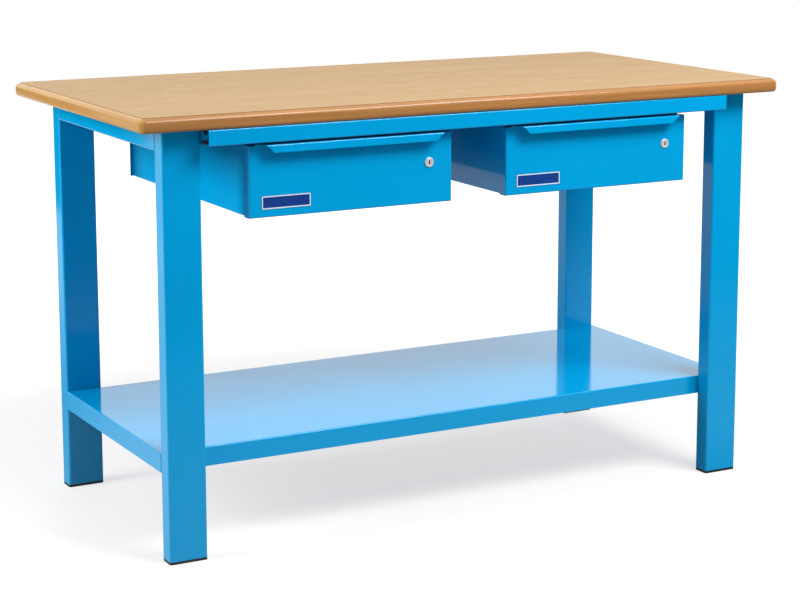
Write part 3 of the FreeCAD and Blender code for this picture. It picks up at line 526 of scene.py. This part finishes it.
def chrome_recipe(name, axis_point, settings):
    """Satin nickel, turned in rings about the lock's axis, worn to red brass round the keyway."""
    chrome = Recipe(name)
    where = chrome.place(centre=axis_point)
    x, _, z = chrome.split(where)
    flat = chrome.add("CombineXYZ", {0: x, 2: z})
    radius = chrome.add("VectorMath", {0: flat}, output="Value", operation="LENGTH")
    rings = chrome.math("SINE", chrome.math("MULTIPLY", radius, 2 * math.pi / RING_SPACING))
    smear = chrome.noise(where, 300.0, 3.0)
    rough = chrome.math("ADD", chrome.middle(smear, 0.36, 0.46),
                        chrome.math("MULTIPLY", rings, 0.03))
    colour = tuple(settings.chrome_colour)
    tone = chrome.blend(chrome.spread(smear, 0.35, 0.7), shaded(colour, 0.92), shaded(colour, 1.05))
    across = chrome.math("LESS_THAN", chrome.math("ABSOLUTE", x), KEYWAY_HALF_WIDTH)
    along = chrome.math("LESS_THAN", chrome.math("ABSOLUTE", z), KEYWAY_HALF_LENGTH)
    inside = chrome.math("MULTIPLY", across, along)
    tone = chrome.blend(inside, tone, tuple(settings.keyway_colour))
    chrome.set(Base_Color=tone, Metallic=0.5, Roughness=rough,
               Normal=chrome.bump(rings, RING_DEPTH))
    return chrome.material


def plastic_recipe():
    """Moulded black plastic: fine sparked grain, a little scuffed to grey."""
    plastic = Recipe("moulded_black")
    where = plastic.place()
    grain = plastic.noise(where, 900.0, 2.0)
    scuff = plastic.noise(plastic.place(scale=(40.0, 40.0, 160.0)), 1.0, 4.0, 0.65)
    scuff = plastic.spread(scuff, 0.55, 0.8)
    tone = plastic.blend(plastic.math("MULTIPLY", scuff, 0.5), MOULDED_BLACK, SCUFFED_GREY)
    rough = plastic.middle(grain, 0.42, 0.58)
    plastic.set(Base_Color=tone, Roughness=rough, Normal=plastic.bump(grain, SPARK_DEPTH))
    return plastic.material


def plate_recipe(settings):
    """A printed plate: dark field, pale line, a clear skin that holds faint fine scratches."""
    plate = Recipe("printed_plate")
    zone = plate.add("Attribute", output="Fac", attribute_name="zone")
    where = plate.place()
    mottle = plate.noise(where, 90.0, 3.0)
    field = tuple(settings.field_colour)
    tone = plate.blend(plate.middle(mottle), shaded(field, 0.9), shaded(field, 1.12))
    tone = plate.blend(zone, tone, tuple(settings.line_colour))
    scratch = plate.noise(plate.place(scale=(30.0, 30.0, 1500.0)), 1.0, 2.0)
    rough = plate.spread(scratch, 0.35, 0.7, 0.20, 0.32)
    plate.set(Base_Color=tone, Roughness=rough, Coat_Weight=0.3, Coat_Roughness=0.08,
              Normal=plate.bump(scratch, SCRATCH_DEPTH))
    return plate.material


def bead_recipe(settings):
    """Enamel over a weld bead: the bench's colour, a little thicker and softer."""
    bead = Recipe("enamelled_bead")
    where = bead.place()
    colour = tuple(settings.colour)
    grit = bead.noise(where, 700.0, 3.0)
    tone = bead.blend(bead.middle(grit), shaded(colour, 0.93), shaded(colour, 1.02))
    bead.set(Base_Color=tone, Roughness=bead.middle(grit, 0.12, 0.22),
             Normal=bead.bump(grit, GRIT_DEPTH))
    return bead.material


def paint(node, material):
    """Gives a CAD node's every material slot one material."""
    for place in frame["nodes"][node].material_slots:
        place.material = material


def dress(piece, material, body, slot, *nodes):
    """Gives a new piece its material and body and hides the CAD nodes that it stands for; slot is
    not used.
    """
    piece.data.materials.append(material)
    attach(piece, body)
    if nodes:
        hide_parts(*nodes)


def body_holding(node):
    """The name of the CAD body that a node rides on."""
    return frame["nodes"][node]["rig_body"]


# ---- Worktop -------------------------------------------------------------------------

class WORKBENCH_OT_worktop(bpy.types.Operator):
    """Makes the wooden top with its rounded, stepped edge"""
    bl_idname = "workbench.worktop"
    bl_label = "Make worktop"

    def execute(self, context):
        sizes = context.scene.workbench_worktop
        top, bottom = TOP_HIGH[2], TOP_LOW[2]
        nose, step, under = sizes.nose_radius, sizes.quirk, sizes.under_radius
        rim, ease = sizes.corner_radius * FACE_RIM_SHARE, sizes.quirk * STEP_EASE_SHARE
        face = [(rim, top), (nose + ease, top), (nose, top - ease)]
        wall = [(nose, top - 2 * ease), (nose, top - step)]
        nosing = quarter_round((nose, top - step - nose), (nose, nose), 0, 90, 12)[1:]
        lipping = [(0.0, top - step - nose - ease)]
        below = quarter_round((under, bottom + under), (under, under), 90, 180, 8)
        profile = np.vstack([face, wall, nosing, lipping, below, [(rim, bottom)]])
        zone = np.repeat((0, 1, 2, 3), (len(face), len(wall), len(nosing), len(below) + 2))
        points = carried_profile(TOP_LOW[:2], TOP_HIGH[:2], sizes.corner_radius, profile)
        board = grid_object("wooden_worktop", points, zone, crease=28.0)
        dress(board, wood_recipe(sizes), body_holding("worktop"), "worktop_wood", "worktop")
        return {"FINISHED"}


# ---- Steelwork -----------------------------------------------------------------------

class WORKBENCH_OT_enamel(bpy.types.Operator):
    """Sprays the frame, shelf, rails, cases and drawers with blue enamel"""
    bl_idname = "workbench.enamel"
    bl_label = "Spray enamel"

    def execute(self, context):
        material = enamel_recipe(context.scene.workbench_enamel)
        for node in ENAMELLED:
            paint(node, material)
        return {"FINISHED"}


def bead_points(start, end, up, out, radius, ripple):
    """A fillet weld from start to end: a rippled quarter-round in the corner between up and out.

    Along the run the reach is the radius times a base share plus a crest share times the rounded
    crest of each ripple. It falls to nothing at both ends as a half circle does. The curve lies
    at one more share of the reach, and the heel a little inside the corner."""
    start, end, up, out = (np.asarray(v, float) for v in (start, end, up, out))
    length = np.linalg.norm(end - start)
    rows = max(FEWEST_ROWS, int(length / ripple * ROWS_PER_RIPPLE))
    t = np.linspace(0, 1, rows)
    crest = np.abs(np.sin(math.pi * t * length / ripple))
    near_end = np.minimum(t, 1 - t) * length
    taper = np.sqrt(np.clip(1 - (1 - np.clip(near_end / radius, 0, 1)) ** 2, LEAST_TAPER, 1))
    reach = radius * taper * (BEAD_BASE + BEAD_CREST * crest)
    angle = np.radians(np.linspace(-8, 98, 9))
    line = start + t[:, None] * (end - start)
    arc = np.cos(angle)[None, :, None] * out + np.sin(angle)[None, :, None] * up
    curve = line[:, None, :] + reach[:, None, None] * arc * BEAD_CURVE
    heel = line[:, None, :] - (up + out) * HEEL_DEPTH
    return np.concatenate([curve, heel], axis=1)


class WORKBENCH_OT_weld_beads(bpy.types.Operator):
    """Lays a weld bead under each end of the crossbars, where they meet the legs"""
    bl_idname = "workbench.weld_beads"
    bl_label = "Lay weld beads"

    radius: FloatProperty(name="Radius", description="Size of the bead",
                          unit="LENGTH", default=0.0035)
    ripple: FloatProperty(name="Ripple", description="Length of one ripple",
                          unit="LENGTH", default=0.0022)
    inset: FloatProperty(name="Inset", description="From the tube's side to the bead's end",
                         unit="LENGTH", default=0.007)

    def execute(self, context):
        material = bead_recipe(context.scene.workbench_enamel)
        for side in SIDES:
            low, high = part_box(side + "_crossbar")
            for row, y, out in (("front", low[1], 1.0), ("rear", high[1], -1.0)):
                ends = [(x, y, low[2]) for x in (low[0] + self.inset, high[0] - self.inset)]
                if out < 0:
                    ends.reverse()
                points = bead_points(*ends, (0, 0, -1), (0, out, 0), self.radius, self.ripple)
                bead = grid_object(f"{side}_{row}_weld_bead", points, crease=60.0)
                dress(bead, material, body_holding(side + "_crossbar"), "blue_enamel")
        return {"FINISHED"}


class WORKBENCH_OT_zinc(bpy.types.Operator):
    """Plates the fasteners, slides and cams with bright zinc"""
    bl_idname = "workbench.zinc"
    bl_label = "Plate with zinc"

    def execute(self, context):
        material = zinc_recipe(context.scene.workbench_metal)
        for node in ZINC_PLATED:
            paint(node, material)
        return {"FINISHED"}


class WORKBENCH_OT_feet(bpy.types.Operator):
    """Gives the foot caps their moulded black plastic"""
    bl_idname = "workbench.feet"
    bl_label = "Mould feet"

    def execute(self, context):
        material = plastic_recipe()
        for side in SIDES:
            for row in ("_front_foot", "_rear_foot"):
                paint(side + row, material)
        return {"FINISHED"}


# ---- Locks and plates ----------------------------------------------------------------

def lock_axis(side):
    """The point where a lock's axis meets the front of its bezel."""
    low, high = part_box(side + "_lock_barrel")
    return ((low[0] + high[0]) / 2, low[1], (low[2] + high[2]) / 2)


class WORKBENCH_OT_locks(bpy.types.Operator):
    """Turns the lock barrels with their rounded bezels and plates barrel and plug"""
    bl_idname = "workbench.locks"
    bl_label = "Turn locks"

    bezel_edge: FloatProperty(name="Bezel edge", description="Rounding of the bezel's rim",
                              unit="LENGTH", default=0.0011)
    groove: FloatProperty(name="Groove", description="Half the width of the ring in its face",
                          unit="LENGTH", default=0.00025)
    thread_pitch: FloatProperty(name="Thread pitch", description="From one thread to the next",
                                unit="LENGTH", default=0.001)
    thread_depth: FloatProperty(name="Thread depth", description="Depth of the thread",
                                unit="LENGTH", default=0.0005)

    def execute(self, context):
        metal = context.scene.workbench_metal
        for side in SIDES:
            axis = lock_axis(side)
            material = chrome_recipe(side + "_satin_nickel", axis, metal)
            barrel = grid_object(side + "_turned_barrel", turned(axis, self.profile(side)),
                                 close_rows=True, crease=40.0)
            dress(barrel, material, body_holding(side + "_lock_barrel"), "lock_chrome",
                  side + "_lock_barrel")
            paint(side + "_lock_plug", material)
        return {"FINISHED"}

    def profile(self, side):
        """Rows of (depth, radius): out over the bezel, back along the thread, into the bore."""
        low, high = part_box(side + "_lock_barrel")
        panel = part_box(side + "_label_plate")[1][1]
        plug_low, plug_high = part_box(side + "_lock_plug")
        bore = (plug_high[0] - plug_low[0]) / 2 + BORE_PLAY
        rim, seat, length = (high[0] - low[0]) / 2, panel - low[1], high[1] - low[1]
        mean = (bore + rim - self.bezel_edge) / 2
        face = [(self.groove, bore), (0.0, bore + self.groove), (0.0, mean - self.groove),
                (self.groove, mean), (0.0, mean + self.groove)]
        round_edge = quarter_round((self.bezel_edge, -(rim - self.bezel_edge)),
                                   (self.bezel_edge, -self.bezel_edge), 90, 0, 8) * (1, -1)
        turns = int((length - seat) / self.thread_pitch)
        start = seat + (np.arange(turns)[:, None] + (0.0, 0.5)) * self.thread_pitch
        radius = np.broadcast_to((BARREL_RADIUS - self.thread_depth, BARREL_RADIUS), start.shape)
        thread = np.stack([start.ravel(), radius.ravel()], axis=-1)
        tail = [(length - self.groove, BARREL_RADIUS - self.thread_depth),
                (length, BARREL_RADIUS - 2 * self.thread_depth), (length, bore)]
        return np.vstack([face, round_edge, [(seat, rim)], thread, tail])


class WORKBENCH_OT_plates(bpy.types.Operator):
    """Makes the plain plate on each drawer front, with a raised line round its field"""
    bl_idname = "workbench.plates"
    bl_label = "Make plates"

    rim: FloatProperty(name="Rim", description="Rounding of the plate's edge",
                       unit="LENGTH", default=0.0002)
    relief: FloatProperty(name="Relief", description="Depth of the field below the line",
                          unit="LENGTH", default=0.00015)
    corner: FloatProperty(name="Corner", description="Radius of the plate's corners",
                          unit="LENGTH", default=0.002)

    def execute(self, context):
        settings = context.scene.workbench_plate
        material = plate_recipe(settings)
        for side in SIDES:
            low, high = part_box(side + "_label_plate")
            back, front = high[1], low[1]
            inner = settings.line_inset + settings.line_width
            depth = back - front
            profile = np.array([(0.0, 0.0), (0.0, depth - self.rim), (self.rim, depth)])
            low_plane, high_plane = (low[0], low[2]), (high[0], high[2])
            shell = carried_profile(low_plane, high_plane, self.corner, profile)
            lines = []
            for inset, height in ((settings.line_inset - self.relief, depth - self.relief),
                                  (settings.line_inset, depth), (inner, depth),
                                  (inner + self.relief, depth - self.relief)):
                shrink = min(inset, self.corner * CORNER_SHARE)
                rest = inset - shrink
                lines.append(carried_profile((low[0] + rest, low[2] + rest),
                                             (high[0] - rest, high[2] - rest),
                                             self.corner, [(shrink, height)]))
            points = np.concatenate([shell] + lines)
            zone = [0] * len(profile) + [0, 1, 1, 0]
            points = np.stack([points[..., 0], back - points[..., 2], points[..., 1]], axis=-1)
            plate = grid_object(side + "_plain_plate", points[::-1], zone[::-1], crease=30.0)
            dress(plate, material, body_holding(side + "_label_plate"), "label_plate",
                  side + "_label_plate")
        return {"FINISHED"}


# ---- Studio --------------------------------------------------------------------------

def stage_material(name, lift):
    """A matt pale floor that the lamps shade, lifted by a little glow for rays that are seen.

    Glossy rays see a plain glowing sheet instead, whose glow fades towards the dim room in front
    and is cut by painted shade under and behind the bench, where its shadow would lie. slant is x
    plus a share of y, so that the painted shade runs back to the left."""
    stage = Recipe(name)
    rays = stage.rays()
    where = stage.place()
    away = stage.add("VectorMath", {0: where}, output="Value", operation="LENGTH")
    lifted = stage.math("MULTIPLY", stage.seen(rays), stage.spread(away, *GLOW_RANGE, lift, 1.0))
    stage.set(Base_Color=FLOOR_GREY, Roughness=1.0, Specular_IOR_Level=0.0,
              Emission_Color=PLAIN_WHITE, Emission_Strength=lifted)
    x, y, _ = stage.split(where)
    slant = stage.math("MULTIPLY_ADD", y, SHADE_SLANT, x)
    before = stage.spread(y, *DIM_ROOM_Y, DIM_ROOM_LEVEL, 1.0)
    # Painted shade: the bench's shadow, as reflections of the floor show it, is painted into the
    # sheet's glow here and is not cast.
    across = stage.math("MULTIPLY", stage.spread(slant, *SHADE_LEFT_SLANT),
                        stage.spread(x, *SHADE_RIGHT_X, 1.0, 0.0))
    along = stage.math("MULTIPLY", stage.spread(y, *SHADE_FRONT_Y),
                       stage.spread(y, *SHADE_BACK_Y, 1.0, 0.0))
    shade = stage.math("MULTIPLY", across, along)
    glow = stage.math("MULTIPLY", before, stage.math("MULTIPLY_ADD", shade, -SHADE_DEPTH, 1.0))
    sheet = stage.add("Emission", {"Color": WARM_WHITE, "Strength": glow})
    mirrored = stage.add("MixShader", {0: rays["Is Glossy Ray"], 2: sheet})
    stage.feed(mirrored.node.inputs[1], stage.shader.outputs[0])
    stage.feed(stage.tree.nodes["Material Output"].inputs["Surface"], mirrored)
    return stage.material


def soft_lamp(name, place, target, size, power, glossy):
    """A rectangular softbox at place that faces target."""
    light = bpy.data.lights.new(name, "AREA")
    light.shape = "RECTANGLE"
    light.size, light.size_y = size
    light.energy = power
    lamp = bpy.data.objects.new(name, light)
    bpy.context.scene.collection.objects.link(lamp)
    lamp.location = place
    lamp.rotation_euler = (Vector(target) - Vector(place)).to_track_quat("-Z", "Y").to_euler()
    lamp.visible_camera = False
    lamp.visible_glossy = glossy


def flag(name, x, y_range, z_range):
    """A dull card on edge at x, over a range of y and of z, that only reflections see."""
    (y0, y1), (z0, z1) = y_range, z_range
    mesh = bpy.data.meshes.new(name)
    mesh.from_pydata([(x, y0, z0), (x, y1, z0), (x, y1, z1), (x, y0, z1)], [], [(0, 1, 2, 3)])
    card = bpy.data.objects.new(name, mesh)
    bpy.context.scene.collection.objects.link(card)
    dull = Recipe(name)
    dull.set(Base_Color=CARD_BLACK, Roughness=1.0, Specular_IOR_Level=0.0)
    card.data.materials.append(dull.material)
    card.visible_camera = card.visible_diffuse = False
    card.visible_shadow = card.visible_transmission = False


def studio_world(ambient):
    """Even cool light all round, plain white for rays that are seen.

    Glossy rays see warm white behind the bench and above the floor, and a dim room in front.
    Their level is the product of how far behind and how far above they point."""
    world = bpy.data.worlds.new("studio")
    bpy.context.scene.world = world
    world.use_nodes = True
    world.node_tree.nodes.clear()
    room = Nodes(world.node_tree)
    rays = room.rays()
    _, behind, above = room.split(room.add("TexCoord", output="Generated"))
    mirror = room.math("MULTIPLY", room.spread(behind, *ROOM_BEHIND),
                       room.spread(above, *ROOM_ABOVE))
    seen = room.seen(rays)
    level = room.add("Mix", {0: rays["Is Glossy Ray"], 2: ambient, 3: mirror})
    level = room.add("Mix", {0: seen, 2: level, 3: 1.0})
    hue = room.blend(rays["Is Glossy Ray"], COOL_SHADE, WARM_WHITE)
    hue = room.blend(seen, hue, PLAIN_WHITE)
    background = room.add("Background", {"Color": hue, "Strength": level})
    room.feed(room.tree.nodes.new("ShaderNodeOutputWorld").inputs["Surface"], background)


class WORKBENCH_OT_studio(bpy.types.Operator):
    """Sets the pale floor, the soft lights, the white surroundings and the camera"""
    bl_idname = "workbench.studio"
    bl_label = "Set studio"

    floor_radius: FloatProperty(name="Floor radius", description="Half the width of the floor",
                                unit="LENGTH", default=7.5)
    floor_lift: FloatProperty(name="Floor lift", description="Glow that lifts the floor to white",
                              default=0.64)

    def execute(self, context):
        settings = context.scene.workbench_studio
        scene = context.scene
        scene.view_settings.view_transform = "Standard"
        angle = np.linspace(0, 2 * math.pi, FLOOR_CORNERS, endpoint=False)
        circle = np.stack([np.cos(angle), np.sin(angle), np.zeros_like(angle)], axis=-1)
        mesh = bpy.data.meshes.new("floor")
        mesh.from_pydata((self.floor_radius * circle).tolist(), [], [list(range(FLOOR_CORNERS))])
        floor = bpy.data.objects.new("floor", mesh)
        scene.collection.objects.link(floor)
        floor.data.materials.append(stage_material("pale_floor", self.floor_lift))
        flag("side_flag", *SIDE_CARD)
        studio_world(settings.ambient)
        for name, place, target, size, power, glossy in LAMPS:
            soft_lamp(name, place, target, size, getattr(settings, power), glossy)
        self.place_camera(scene, settings)
        return {"FINISHED"}

    def place_camera(self, scene, settings):
        """The camera looks along yaw and pitch and is rolled about its view.

        The lens is the focal length over the picture's width times the sensor's width. The shift
        is the axis row less half the picture's height, over its width."""
        yaw, pitch, roll = settings.camera_yaw, settings.camera_pitch, settings.camera_roll
        forward = Vector((math.sin(yaw) * math.cos(pitch), math.cos(yaw) * math.cos(pitch),
                          -math.sin(pitch)))
        level = Vector((math.cos(yaw), -math.sin(yaw), 0.0))
        down = forward.cross(level)
        right = level * math.cos(roll) + down * math.sin(roll)
        up = right.cross(forward)
        turn = Matrix((right, up, -forward)).transposed()
        lens = bpy.data.cameras.new("camera")
        lens.lens = settings.focal_pixels / settings.picture_width * lens.sensor_width
        lens.shift_y = (settings.axis_row - settings.picture_height / 2) / settings.picture_width
        camera = bpy.data.objects.new("camera", lens)
        scene.collection.objects.link(camera)
        camera.matrix_world = Matrix.Translation(settings.camera_place) @ turn.to_4x4()
        scene.camera = camera


# ---- Panel and registration ----------------------------------------------------------

PIECES = (WORKBENCH_OT_worktop, WORKBENCH_OT_enamel, WORKBENCH_OT_weld_beads, WORKBENCH_OT_zinc,
          WORKBENCH_OT_feet, WORKBENCH_OT_locks, WORKBENCH_OT_plates, WORKBENCH_OT_studio)

SETTINGS = (("workbench_worktop", WorktopSettings), ("workbench_enamel", EnamelSettings),
            ("workbench_metal", MetalSettings), ("workbench_plate", PlateSettings),
            ("workbench_studio", StudioSettings))


class WORKBENCH_PT_panel(bpy.types.Panel):
    """Lists the workbench's settings and the buttons that make its pieces."""
    bl_label = "Workbench"
    bl_idname = "WORKBENCH_PT_panel"
    bl_space_type = "VIEW_3D"
    bl_region_type = "UI"
    bl_category = "Workbench"

    def draw(self, context):
        for name, group in SETTINGS:
            box = self.layout.box()
            box.label(text=name.replace("workbench_", "").capitalize())
            for field in group.__annotations__:
                box.prop(getattr(context.scene, name), field)
        for piece in PIECES:
            self.layout.operator(piece.bl_idname)


def register():
    for group in [group for _, group in SETTINGS] + list(PIECES) + [WORKBENCH_PT_panel]:
        bpy.utils.register_class(group)
    for name, group in SETTINGS:
        setattr(bpy.types.Scene, name, PointerProperty(type=group))


def unregister():
    for name, _ in SETTINGS:
        delattr(bpy.types.Scene, name)
    for group in [WORKBENCH_PT_panel] + list(PIECES) + [group for _, group in SETTINGS]:
        bpy.utils.unregister_class(group)


def main():
    register()
    for piece in PIECES:
        family, action = piece.bl_idname.split(".")
        getattr(getattr(bpy.ops, family), action)()


if __name__ == "__main__":
    main()
